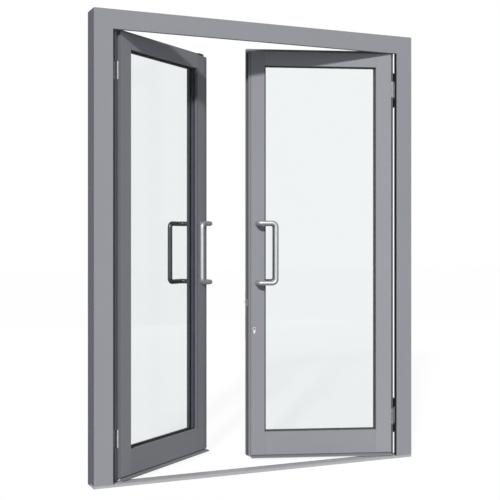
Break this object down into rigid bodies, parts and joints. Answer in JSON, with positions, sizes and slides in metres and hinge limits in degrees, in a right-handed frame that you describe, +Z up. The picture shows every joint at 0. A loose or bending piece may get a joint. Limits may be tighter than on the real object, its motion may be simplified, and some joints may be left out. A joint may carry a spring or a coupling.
{
  "type": "double door",
  "caption": "Glazed aluminium double door in its frame, both leaves ajar, with cranked pull handles, a profile-cylinder lock and flush bolts",
  "frame": {"origin": "middle of the threshold's underside, on the floor", "axes": "+X along the frame to the right seen from outside, +Y to the side the leaves open to, +Z up"},
  "size_m": [1.7, 0.5628, 2.2],
  "materials": {
    "grey_aluminium": "satin grey anodised",
    "threshold_metal": "plain mill finish",
    "spacer_metal": "bright",
    "satin_steel": "satin",
    "dark_metal": "satin grey",
    "brass_metal": "nickel plated",
    "black_rubber": "matt",
    "clear_glass": "clear"
  },
  "bodies": {
    "frame": {"frame_jamb_left": "grey_aluminium", "frame_jamb_right": "grey_aluminium", "frame_head": "grey_aluminium", "threshold": "threshold_metal", "frame_gasket": "black_rubber", "left_top_frame_hinge": "dark_metal", "left_bottom_frame_hinge": "dark_metal", "right_top_frame_hinge": "dark_metal", "right_bottom_frame_hinge": "dark_metal", "hinge_pins": "satin_steel", "bolt_keeps": "satin_steel"},
    "left_leaf": {"left_hinge_stile": "grey_aluminium", "left_meeting_stile": "grey_aluminium", "left_top_rail": "grey_aluminium", "left_bottom_rail": "grey_aluminium", "left_rebate_profile": "grey_aluminium", "left_outer_pane": "clear_glass", "left_inner_pane": "clear_glass", "left_spacer_bar": "spacer_metal", "left_setting_blocks": "black_rubber", "left_glazing_beads": "grey_aluminium", "left_outer_gasket": "black_rubber", "left_inner_gasket": "black_rubber", "left_stop_gasket": "black_rubber", "left_drip_bar": "grey_aluminium", "left_bottom_seal": "black_rubber", "left_outside_handle": "satin_steel", "left_inside_handle": "satin_steel", "left_handle_bolts": "satin_steel", "left_top_leaf_hinge": "satin_steel", "left_bottom_leaf_hinge": "satin_steel", "left_strike_plate": "satin_steel"},
    "right_leaf": {"right_hinge_stile": "grey_aluminium", "right_meeting_stile": "grey_aluminium", "right_top_rail": "grey_aluminium", "right_bottom_rail": "grey_aluminium", "right_rebate_profile": "grey_aluminium", "right_outer_pane": "clear_glass", "right_inner_pane": "clear_glass", "right_spacer_bar": "spacer_metal", "right_setting_blocks": "black_rubber", "right_glazing_beads": "grey_aluminium", "right_outer_gasket": "black_rubber", "right_inner_gasket": "black_rubber", "right_stop_gasket": "black_rubber", "right_drip_bar": "grey_aluminium", "right_bottom_seal": "black_rubber", "right_outside_handle": "satin_steel", "right_inside_handle": "satin_steel", "right_handle_bolts": "satin_steel", "right_top_leaf_hinge": "satin_steel", "right_bottom_leaf_hinge": "satin_steel", "lock_case": "dark_metal", "cylinder_body": "satin_steel"},
    "top_bolt": {"left_top_flush_bolt": "satin_steel"},
    "bottom_bolt": {"left_bottom_flush_bolt": "satin_steel"},
    "lock_bolt": {"deadbolt": "satin_steel"},
    "catch": {"roller_catch": "satin_steel"},
    "plug": {"cylinder_plug": "brass_metal"}
  },
  "joints": [
    {"name": "left_leaf_swing", "type": "hinge", "parent": "frame", "child": "left_leaf", "pos_m": [-0.78, 0.0415, 1.07], "axis": [0, 0, 1], "range_deg": [-37.1, 52.9]},
    {"name": "right_leaf_swing", "type": "hinge", "parent": "frame", "child": "right_leaf", "pos_m": [0.78, 0.0415, 1.07], "axis": [0, 0, -1], "range_deg": [-17.7, 72.3]},
    {"name": "top_bolt_slide", "type": "slide", "parent": "left_leaf", "child": "top_bolt", "axis": [0, 0, 1], "range_m": [0, 0.022]},
    {"name": "bottom_bolt_slide", "type": "slide", "parent": "left_leaf", "child": "bottom_bolt", "axis": [0, 0, -1], "range_m": [0, 0.014]},
    {"name": "cylinder_turn", "type": "hinge", "parent": "right_leaf", "child": "plug", "pos_m": [0.0649, 0.24295, 0.681], "axis": [0.304, 0.9527, 0], "range_deg": [0, 360]},
    {"name": "deadbolt_throw", "type": "slide", "parent": "right_leaf", "child": "lock_bolt", "axis": [-0.9527, 0.304, 0], "range_m": [0, 0.02]},
    {"name": "roller_push", "type": "slide", "parent": "right_leaf", "child": "catch", "axis": [-0.9527, 0.304, 0], "range_m": [-0.004, 0], "stiffness_N_per_m": 600}
  ],
  "couplings": [
    {"joint": "cylinder_turn", "follows": "deadbolt_throw", "rad_per_m": 314.15}
  ]
}
